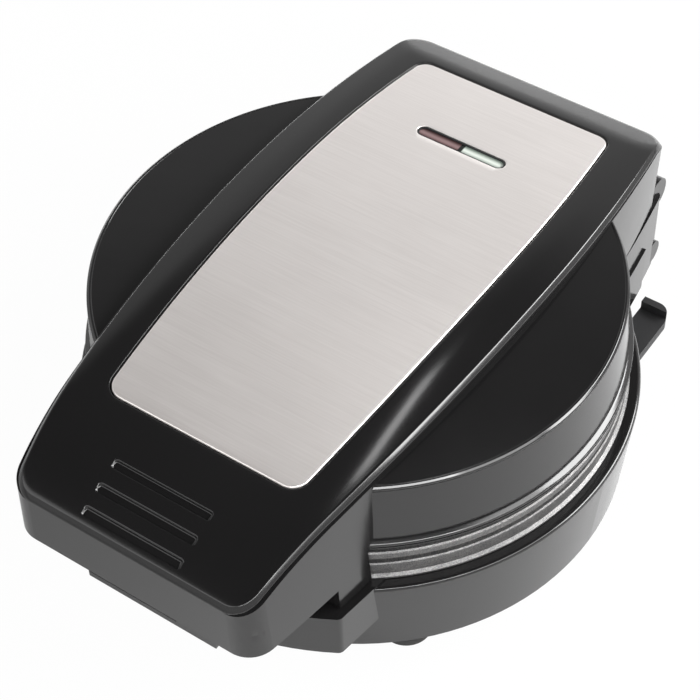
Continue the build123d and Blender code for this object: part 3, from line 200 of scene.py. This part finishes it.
def waisted_outline(half, wide_y, curves, ends, corners, inset=0.0):
    """Closed outline of a bar seen from above, the same count of points at every inset.

    The half width is its peak less a curve times the square of the distance from the widest
    place. Each corner is an arc that touches the straight end and the bowed side, and where it
    touches the side is found by going round the sum a few times.
    """
    half = half - inset
    front_y, rear_y = ends[0] + inset, ends[1] - inset

    def side_x(y):
        return half - np.where(y < wide_y, curves[0], curves[1]) * (y - wide_y) ** 2

    def corner(end_y, radius, curve, sign):
        touch_y = end_y + sign * radius
        for _ in range(corner_rounds):
            slope = -2 * curve * (touch_y - wide_y)
            length = np.hypot(1.0, slope)
            touch_y = end_y + sign * radius - radius * slope / length
        centre = (side_x(touch_y) - radius / length, end_y + sign * radius)
        return centre, touch_y, np.arctan2(-slope, 1.0)

    front_radius, rear_radius = corners[0] - inset, corners[1] - inset
    front, front_touch, front_turn = corner(front_y, front_radius, curves[0], 1)
    rear, rear_touch, rear_turn = corner(rear_y, rear_radius, curves[1], -1)
    across = np.linspace(0.0, front[0], front_steps, endpoint=False)
    turn_in = np.linspace(-np.pi / 2, front_turn, front_corner_steps, endpoint=False)
    along = np.linspace(front_touch, rear_touch, side_steps, endpoint=False)
    turn_out = np.linspace(rear_turn, np.pi / 2, rear_corner_steps, endpoint=False)
    back = np.linspace(rear[0], 0.0, rear_steps)
    x = np.concatenate(
        (
            across,
            front[0] + front_radius * np.cos(turn_in),
            side_x(along),
            rear[0] + rear_radius * np.cos(turn_out),
            back,
        )
    )
    y = np.concatenate(
        (
            np.full(across.shape, front_y),
            front[1] + front_radius * np.sin(turn_in),
            along,
            rear[1] + rear_radius * np.sin(turn_out),
            np.full(back.shape, rear_y),
        )
    )
    return np.concatenate((np.stack((x, y), 1), np.stack((-x[-2:0:-1], y[-2:0:-1]), 1)))


def cover_outline(inset=0.0):
    """Outline of the cover, drawn in by an inset."""
    return waisted_outline(
        cover_half, cover_wide_y, cover_curves, cover_ends, cover_corners, inset
    )


def inlay_outline(inset=0.0):
    """Outline of the steel inlay, drawn in by an inset."""
    return waisted_outline(
        inlay_half, inlay_wide_y, inlay_curves, inlay_ends, inlay_corners, inset
    )


def crown(x, y):
    """Height of the cover's top.

    A circle of one metre, handed over to a tighter circle in front of the join. The bevels fall
    from it in straight lines, and both changes of slope are eased by a logarithm of a sum of
    exponentials.
    """
    join_lean = arch_join_y / arch_r
    front_y = (arch_r - arch_front_r) * join_lean
    front_z = arch_top - arch_r + (arch_r - arch_front_r) * np.sqrt(1 - join_lean**2)
    long_arch = arch_top - arch_r + np.sqrt(arch_r**2 - y**2)
    short_arch = front_z + np.sqrt(np.maximum(arch_front_r**2 - (y - front_y) ** 2, 0.0))
    arch = np.where(y < arch_join_y, short_arch, long_arch)
    side = arch - bevel_slope * land_ease * np.logaddexp(0.0, (np.abs(x) - land_half) / land_ease)
    bevel_z = arch_top - arch_r + np.sqrt(arch_r**2 - rear_bevel_y**2)
    back = bevel_z - rear_bevel_fall * (y - rear_bevel_y)
    return -rear_ease * np.logaddexp(-side / rear_ease, -back / rear_ease)


def grip(x, y):
    """Depth of the finger grooves: full inside a round-ended bar, eased to nothing at its edge."""
    depth = np.zeros_like(x)
    for row_y in grip_rows:
        past_end = np.maximum(np.abs(x) - (grip_half - grip_width / 2), 0.0)
        away = np.hypot(past_end, y - row_y)
        share = np.clip((grip_width / 2 - away) / grip_edge, 0.0, 1.0)
        depth = np.maximum(depth, grip_depth * share**2 * (3 - 2 * share))
    return depth


def on_crown(outline, drop):
    """Row of points over an outline: the crown's height less the grooves and less a drop."""
    x, y = outline[:, 0], outline[:, 1]
    return np.stack((x, y, crown(x, y) - grip(x, y) * (drop < cover_round) - drop), 1)


def rounded(outline_at, radius, steps, outwards):
    """Rows that carry an edge over a quarter circle, from flat to upright or back.

    At each angle the outline is drawn in by the radius times one less the sine, and the row lies
    below the crown by the radius times one less the cosine.
    """
    turns = np.linspace(0.0, np.pi / 2, steps)
    if not outwards:
        turns = turns[::-1]
    insets, drops = radius * (1 - np.sin(turns)), radius * (1 - np.cos(turns))
    return [on_crown(outline_at(inset), drop) for inset, drop in zip(insets, drops)]


def closed_skin(name, rows):
    """Mesh object of a grid of points that closes on itself both ways, its faces outwards.

    Each face joins a point, its neighbour along the row and the same two of the next row. The
    faces are turned round if the volume that they enclose comes out negative.
    """
    grid = np.array(rows)
    count_v, count_u = grid.shape[:2]
    number = np.arange(count_v * count_u).reshape(count_v, count_u)
    below = np.roll(number, -1, 0)
    quads = np.stack((number, np.roll(number, -1, 1), np.roll(below, -1, 1), below), -1)
    quads = quads.reshape(-1, 4)
    points = grid.reshape(-1, 3)
    first, second, third, fourth = (points[quads[:, k]] for k in range(4))
    volume = np.einsum("ij,ij->", first, np.cross(second, third) + np.cross(third, fourth))
    if volume < 0:
        quads = quads[:, ::-1]
    mesh = bpy.data.meshes.new(name)
    mesh.from_pydata(points.tolist(), [], quads.tolist())
    mesh.polygons.foreach_set("use_smooth", np.ones(len(quads), bool))
    mesh.update()
    piece = bpy.data.objects.new(name, mesh)
    bpy.context.scene.collection.objects.link(piece)
    return piece


# The rows over the top lie closer together where they cross the walls of the grooves.
pocket_edge = inlay_outline(-pocket_gap - pocket_round)
rim_start = cover_outline(cover_round)
front_run = (inlay_ends[0] - pocket_gap - pocket_round, cover_ends[0] + cover_round)
walls = grip_width / 2 - grip_edge * np.linspace(-0.3, 1.3, groove_wall_steps)
groove_y = np.concatenate([[row + side * walls for side in (-1, 1)] for row in grip_rows]).ravel()
groove_shares = (groove_y - front_run[0]) / (front_run[1] - front_run[0])
shares = np.unique(np.concatenate((np.linspace(0.0, 1.0, top_steps), groove_shares)))
top_rows = [
    on_crown(pocket_edge + share * (rim_start - pocket_edge), 0.0) for share in shares[1:-1]
]
pocket_rows = rounded(
    lambda inset: inlay_outline(-pocket_gap - inset), pocket_round, pocket_steps, outwards=False
)
rim_rows = [
    on_crown(cover_outline(inset), down) for inset, down in zip(cover_edge_in, cover_edge_down)
]
cover_rows = (
    [on_crown(inlay_outline(pocket_reach), inlay_thick + pocket_slack)]
    + [on_crown(inlay_outline(-pocket_gap), inlay_thick + pocket_slack)]
    + pocket_rows
    + top_rows
    + rim_rows
    + [on_crown(cover_outline(), cover_depth - lower_bevel)]
    + [on_crown(cover_outline(lower_bevel), cover_depth)]
    + [on_crown(cover_outline(lower_reach), cover_depth)]
    + [on_crown(inlay_outline(-pocket_gap), cover_depth)]
    + [on_crown(inlay_outline(pocket_reach), cover_depth)]
)
cover = closed_skin("bar_cover_skin", cover_rows)
coat(cover, moulding)
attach(cover, "lid")
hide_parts("top_cover")


# The edges of the drums are polished parts of the moulds: a narrow bevel on the lid's shoulder and
# on its lower lip, and a small radius on the base's rim. Each is made here as a closed ring that
# lies on the moulding like a skin. The points of the two bevels are in millimetres.
millimetre = 0.001
shoulder_centre = (0.1048, 0.1070)
shoulder_out = (-3.0, 1.82, 1.82, 1.81, 1.77, 1.53, 1.29, 1.05, 0.81, 0.62, 0.40, -0.3, -0.3)
shoulder_up = (-0.3, -0.3, 0.40, 0.62, 0.81, 1.05, 1.29, 1.53, 1.77, 1.81, 1.82, 1.82, -0.3)
lip_radii = (107.0, 110.43, 110.43, 110.38, 110.30, 109.86, 109.42, 108.97, 108.52, 108.2, 107.0)
lip_heights = (77.6, 77.6, 78.75, 78.98, 79.13, 79.48, 79.84, 80.20, 80.55, 80.72, 80.72)
rim_r, rim_z, rim_round, rim_lean = 0.113555, 0.0559, 0.0016, 0.0865
skin, buried = 0.00002, 0.0006
arc_steps, ring_steps = 15, 360


def arc_profile(centre, radius, start, end):
    """Closed strip between an arc and the same arc drawn inwards, in the r-z plane.

    Each point is the centre plus the radius times the cosine outwards and the sine upwards.
    """
    turns = np.linspace(start, end, arc_steps)
    arc = np.stack((np.cos(turns), np.sin(turns)), 1)
    outer = np.array(centre) + radius * arc
    inner = np.array(centre) + (radius - buried) * arc[::-1]
    return np.concatenate((outer, inner))


def turned_ring(name, profile):
    """Closed ring: each point of the profile goes round the upright axis at its own height."""
    around = np.linspace(0.0, 2 * np.pi, ring_steps, endpoint=False)
    radius, height = profile[:, :1], profile[:, 1:]
    circle = (radius * np.cos(around), radius * np.sin(around), height + 0.0 * around)
    return closed_skin(name, np.stack(circle, 2))


shoulder = turned_ring(
    "shoulder_bevel",
    np.array(shoulder_centre) + millimetre * np.stack((shoulder_out, shoulder_up), 1),
)
lip = turned_ring("lip_bevel", millimetre * np.stack((lip_radii, lip_heights), 1))
rim = turned_ring(
    "base_rim_radius", arc_profile((rim_r, rim_z), rim_round + skin, -rim_lean, np.pi / 2)
)
for ring, body in ((shoulder, "lid"), (lip, "lid"), (rim, "base")):
    coat(ring, moulding)
    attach(ring, body)


# The inlay is a sheet of stainless steel glued into the cover's pocket. It is brushed very finely
# across the bar, its edge is rolled over in the press and a slot for the window is stamped out.
window_x, window_y = -0.0015, 0.0785
window_length, window_width = 0.042, 0.0064
edge_roll, slot_edge_width, back_reach = 0.0008, 0.0002, 0.004
sheet_steps, roll_steps = 64, 8


def slot_point(outline, grow):
    """Nearest place on the round-ended window slot for each point of an outline.

    The point is drawn to the slot's middle line, then set off it towards the outline.
    """
    centre = np.array((window_x, window_y))
    radius = window_width / 2
    straight = window_length / 2 - radius
    middle = centre + np.stack(
        (np.clip(outline[:, 0] - window_x, -straight, straight), np.zeros(len(outline))), 1
    )
    away = outline - middle
    return middle + (radius + grow) * away / np.linalg.norm(away, axis=1, keepdims=True)


inlay_edge = inlay_outline(edge_roll)
slot_wall = slot_point(inlay_edge, 0.0)
slot_edge = slot_point(inlay_edge, slot_edge_width)
sheet_rows = [
    on_crown(slot_edge + share * (inlay_edge - slot_edge), 0.0)
    for share in np.linspace(0.0, 1.0, sheet_steps)[:-1]
]
inlay_rows = (
    [on_crown(slot_wall, inlay_thick)]
    + [on_crown(slot_wall, slot_edge_width)]
    + sheet_rows
    + rounded(inlay_outline, edge_roll, roll_steps, outwards=True)
    + [on_crown(inlay_outline(), inlay_thick)]
    + [on_crown(inlay_outline(back_reach), inlay_thick)]
)
inlay = closed_skin("steel_inlay_sheet", inlay_rows)
steel = Finish("brushed_steel_sheet", Metallic=0.72)
strokes = steel.noise(1300.0, detail=5.0, stretch=(0.025, 1.0, 1.0))
cloud = steel.noise(26.0, detail=3.0)
steel_dark, steel_light = (0.70, 0.657, 0.634, 1.0), (0.875, 0.834, 0.812, 1.0)
steel.set("Base Color", steel.mix(0.8 * strokes + 0.2 * cloud, steel_dark, steel_light))
steel.set("Roughness", 0.30 + 0.08 * strokes + 0.05 * cloud)
steel.bump(strokes, strength=0.06, distance=0.0001)
coat(inlay, steel)
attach(inlay, "lid")
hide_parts("steel_inlay")


# The window is a dark moulded ring pressed in from below. Two bars of tinted clear plastic sit in
# it, dark red on the left and grey-green on the right, with a dark rib between them.
matte = Finish("matte_black_moulding", IOR=1.5)
matte_grain = matte.noise(1400.0, detail=2.0)
matte_dark, matte_light = (0.011, 0.011, 0.0115, 1.0), (0.019, 0.019, 0.020, 1.0)
matte.set("Base Color", matte.mix(matte_grain, matte_dark, matte_light))
matte.set("Roughness", 0.40 + 0.16 * matte_grain)
matte.bump(matte_grain, strength=0.25, distance=0.0001)
coat(nodes["window_bezel"], matte)
streak_half, streak_end, streak_wander = 0.0003, 0.0024, 0.0005
rib_half, rib_shade_end = 0.0006, 0.0013


def tinted_bar(name, shade, painted_glow, dark):
    """Finish of one lens: a painted highlight along its middle, darker towards the ring, and
    painted shade beside the rib.
    """
    lens = Finish(name, Roughness=0.09, IOR=1.49)
    from_middle = abs(lens.axis("Y") - window_y)
    from_rib = abs(lens.axis("X") - window_x)
    wandering = from_middle + streak_wander * lens.noise(260.0)
    # Painted highlight: a bright streak along the lens's middle, fading towards the ring.
    painted_streak = 1 - lens.ramp(wandering, streak_half, streak_end)
    body = lens.mix(painted_streak, shade, painted_glow)
    # Painted shade: the lens turns dark beside the rib.
    painted_rib_shade = 1 - lens.ramp(from_rib, rib_half, rib_shade_end)
    lens.set("Base Color", lens.mix(painted_rib_shade, body, dark))
    lens.bump(lens.noise(900.0), strength=0.1, distance=0.0001)
    return lens


# Each lens gets its tint, then a painted highlight colour, then a painted shade colour for beside
# the rib.
red_bar = tinted_bar(
    "red_lens", (0.055, 0.026, 0.026, 1), (0.20, 0.13, 0.13, 1), (0.01, 0.01, 0.01, 1)
)
coat(nodes["power_lens"], red_bar)
green_bar = tinted_bar(
    "green_lens", (0.20, 0.24, 0.21, 1), (0.56, 0.60, 0.55, 1), (0.015, 0.018, 0.016, 1)
)
coat(nodes["ready_lens"], green_bar)


# Under each lens stands a small lamp of blown clear glass, a little smoked with use. Both are
# pushed into one holder of the same dark plastic as the window's ring.
coat(nodes["lamp_holder"], matte)
lamp_glass = Finish("lamp_glass", Transmission_Weight=1.0, IOR=1.46)
clear_glass, smoked_glass = (0.92, 0.88, 0.84, 1.0), (0.84, 0.78, 0.72, 1.0)
lamp_glass.set("Base Color", lamp_glass.mix(lamp_glass.noise(400.0), clear_glass, smoked_glass))
lamp_glass.set("Roughness", 0.03 + 0.05 * lamp_glass.noise(300.0))
for name in ("power_lamp", "ready_lamp"):
    coat(nodes[name], lamp_glass)


# The cooking plates are die-cast aluminium. The outside keeps the grey, grainy skin of the
# casting, and everything inside the land is sprayed with a dark non-stick coating.
coating_r, coating_edge = 0.1066, 0.0006
casting = Finish("cast_plate_metal")
cast_grain = casting.noise(1900.0, detail=3.0)
cast_patch = casting.noise(120.0, detail=3.0)
coated = 1 - casting.ramp(casting.radius(), coating_r - coating_edge, coating_r)
bare = casting.mix(
    casting.ramp(cast_grain * 0.75 + cast_patch * 0.25, 0.30, 0.72),
    (0.070, 0.070, 0.072, 1.0),
    (0.225, 0.22, 0.216, 1.0),
)
flecked = casting.mix(
    casting.ramp(cast_grain, 0.62, 0.72),
    (0.016, 0.016, 0.017, 1.0),
    (0.030, 0.030, 0.030, 1.0),
)
casting.set("Base Color", casting.mix(coated, bare, flecked))
casting.set("Metallic", 0.75 * (1 - coated))
casting.set("Roughness", 0.36 + 0.14 * cast_grain)
casting.bump(cast_grain, strength=0.35, distance=0.0002)
for name in ("lower_cooking_plate", "upper_cooking_plate"):
    coat(nodes[name], casting)


# Heaters, reflector pans, clips, thermostats, fuse, screws, hinge rod and latch pin are plated
# steel. They are bought-in or pressed pieces with a thin bright coat that has gone patchy.
plated = Finish("plated_steel", Metallic=1.0)
plating = plated.noise(180.0, detail=4.0)
plated.set("Base Color", plated.mix(plating, (0.36, 0.355, 0.345, 1), (0.50, 0.495, 0.48, 1)))
plated.set("Roughness", 0.24 + 0.22 * plating)
plated.bump(plated.noise(1600.0, detail=2.0), strength=0.08, distance=0.0001)
for name in (
    "lower_heating_element",
    "upper_heating_element",
    "lower_reflector",
    "upper_reflector",
    "lower_element_clips",
    "upper_element_clips",
    "lower_thermostat",
    "upper_thermostat",
    "thermal_fuse",
    "bottom_cover_screws",
    "lower_plate_screws",
    "upper_plate_screws",
    "cover_screws",
    "hinge_rod",
    "latch_pin",
):
    coat(nodes[name], plated)


# The terminal block is pressed and fired off-white ceramic with a thin glaze and six clamp wells.
# It stands inside the base, where the wires of a supply cord would end.
ceramic = Finish("white_ceramic", IOR=1.52)
glaze = ceramic.noise(70.0, detail=4.0)
ceramic.set("Base Color", ceramic.mix(glaze, (0.78, 0.75, 0.70, 1), (0.70, 0.67, 0.61, 1)))
ceramic.set("Roughness", 0.18 + 0.2 * glaze)
ceramic.bump(ceramic.noise(600.0), strength=0.08, distance=0.0001)
coat(nodes["terminal_block"], ceramic)


# The bottom cover with its two stays and the cord gland are moulded in a duller black, with the
# fine spark-eroded texture of parts that nobody looks at.
for name in ("bottom_cover", "cord_gland"):
    coat(nodes[name], matte)


# Four soft rubber feet plug into the bottom cover. They are dull, a little dusty and scuffed pale
# towards the table.
rubber = Finish("foot_rubber", IOR=1.48)
dust = rubber.noise(240.0, detail=4.0)
scuff_low, scuff_high, scuff_wander = 0.001, 0.005, 0.003
scuff = 1 - rubber.ramp(rubber.axis("Z") + scuff_wander * dust, scuff_low, scuff_high)
rubber_black, rubber_dusty = (0.014, 0.014, 0.0145, 1.0), (0.045, 0.044, 0.042, 1.0)
rubber.set("Base Color", rubber.mix(0.5 * scuff + 0.3 * dust, rubber_black, rubber_dusty))
rubber.set("Roughness", 0.58 + 0.2 * dust)
rubber.bump(rubber.noise(1500.0, detail=2.0), strength=0.2, distance=0.0001)
for name in ("foot_front_right", "foot_front_left", "foot_rear_right", "foot_rear_left"):
    coat(nodes[name], rubber)


# The latch hangs under the handle on its pin: a moulded finger plate with a hook bar behind it,
# in the same black as the handle but rubbed a little duller by fingers.
worn = Finish("rubbed_black_moulding", Base_Color=black_plastic, IOR=1.52)
rub = worn.noise(45.0, detail=5.0)
worn.set("Roughness", 0.14 + 0.16 * rub)
worn.bump(worn.noise(70.0, detail=2.0), strength=0.08, distance=0.0003)
for name in ("latch", "latch_hook"):
    coat(nodes[name], worn)


# The studio isn't part of the object: a plain paper floor that runs off in every direction, a room
# that is bright near the horizon and dark overhead, and soft boxes and strip lamps round the drum.
floor_reach = 6.0
floor_white, floor_gleam = 0.97, 0.05
paper_grey = (0.68, 0.68, 0.68, 1.0)
floor_mesh = bpy.data.meshes.new("studio_floor")
floor_mesh.from_pydata(
    [
        (-floor_reach, -floor_reach, 0),
        (floor_reach, -floor_reach, 0),
        (floor_reach, floor_reach, 0),
        (-floor_reach, floor_reach, 0),
    ],
    [],
    [(0, 1, 2, 3)],
)
floor = bpy.data.objects.new("studio_floor", floor_mesh)
bpy.context.scene.collection.objects.link(floor)
paper = bpy.data.materials.new("studio_paper")
floor_mesh.materials.append(paper)
floor_nodes = Nodes(paper)
floor_nodes.tree.nodes.clear()
seen, mirrored, through = (
    floor_nodes.node("ShaderNodeLightPath", {}, {}, output=kind)
    for kind in ("Is Camera Ray", "Is Glossy Ray", "Is Transmission Ray")
)
share = floor_white * (seen + through) + floor_gleam * mirrored
lit = floor_nodes.node("ShaderNodeBsdfDiffuse", {}, {"Color": paper_grey})
white = floor_nodes.node("ShaderNodeEmission", {}, {})
blend = floor_nodes.node("ShaderNodeMixShader", {}, {0: share, 1: lit, 2: white})
floor_nodes.node("ShaderNodeOutputMaterial", {}, {"Surface": blend})

drum_middle = (0.0, 0.0, 0.09)
room_stops = ((0.0, 0.85), (0.30, 0.85), (0.62, 0.58), (0.78, 0.04), (1.0, 0.02))
world = bpy.data.worlds.new("studio_room")
bpy.context.scene.world = world
room_nodes = Nodes(world)
room_nodes.tree.nodes.clear()
direction = room_nodes.node("ShaderNodeTexCoord", {}, {}, output="Generated")
height = room_nodes.node("ShaderNodeSeparateXYZ", {}, {0: direction}, output="Z")
room = room_nodes.node("ShaderNodeValToRGB", {}, {0: height})
shades = room.output.node.color_ramp
shades.interpolation = "EASE"
for place, _ in room_stops[1:-1]:
    shades.elements.new(place)
for stop, (_, level) in zip(shades.elements, room_stops):
    stop.color = (level, level, level, 1.0)
room_light = room_nodes.node("ShaderNodeBackground", {}, {"Color": room})
room_white = room_nodes.node("ShaderNodeBackground", {}, {"Color": (1.0, 1.0, 1.0, 1.0)})
seen = room_nodes.node("ShaderNodeLightPath", {}, {}, output="Is Camera Ray")
blend = room_nodes.node("ShaderNodeMixShader", {}, {0: seen, 1: room_light, 2: room_white})
room_nodes.node("ShaderNodeOutputWorld", {}, {"Surface": blend})


def softbox(name, place, size, level):
    """Rectangular lamp at a place, turned to the drum; its level is the white it shows as."""
    lamp = bpy.data.lights.new(name, "AREA")
    lamp.shape = "RECTANGLE"
    lamp.size, lamp.size_y = size
    lamp.energy = level * np.pi * size[0] * size[1]
    holder = bpy.data.objects.new(name, lamp)
    bpy.context.scene.collection.objects.link(holder)
    backward = np.array(place) - np.array(drum_middle)
    backward = backward / np.linalg.norm(backward)
    right = np.cross((0.0, 0.0, 1.0), backward)
    right = right / np.linalg.norm(right)
    up = np.cross(backward, right)
    turn = Matrix(np.array((right, up, backward)).T.tolist())
    holder.matrix_world = Matrix.Translation(place) @ turn.to_4x4()


softbox("right_rear_box", (1.00, 0.82, 0.78), size=(1.2, 0.55), level=17.0)
softbox("front_left_box", (-0.62, -1.15, 0.95), size=(1.1, 0.6), level=1.8)
softbox("overhead_strip", (-0.27, 0.62, 1.52), size=(0.11, 0.35), level=7.0)
softbox("right_strip", (1.35, -0.15, 0.95), size=(0.9, 0.45), level=6.0)
softbox("camera_side_strip", (0.66, -0.88, 0.92), size=(1.4, 0.18), level=16.0)
softbox("low_rear_strip", (-0.60, 1.45, 0.05), size=(1.2, 0.08), level=4.0)
softbox("low_left_strip", (-1.35, 0.90, 0.16), size=(0.9, 0.16), level=9.0)


# The camera stands less than a metre from the drum and looks down at the handle's right front
# corner. Its lens and place follow from the drum's ellipses and the bar's straight edges.
bpy.context.scene.view_settings.view_transform = "Standard"
camera_place = (0.315868, -0.451305, 0.690887)
camera = bpy.data.objects.new("camera", bpy.data.cameras.new("camera"))
bpy.context.scene.collection.objects.link(camera)
camera.data.sensor_width = 36.0
camera.data.lens = 104.81
camera.data.clip_start = 0.05
camera.data.clip_end = 20.0
camera_axes = Matrix(
    (
        (0.82738, -0.41168, 0.38204),
        (0.56131, 0.62915, -0.53767),
        (-0.01901, 0.65931, 0.75163),
    )
)
camera.matrix_world = Matrix.Translation(camera_place) @ camera_axes.to_4x4()
bpy.context.scene.camera = camera
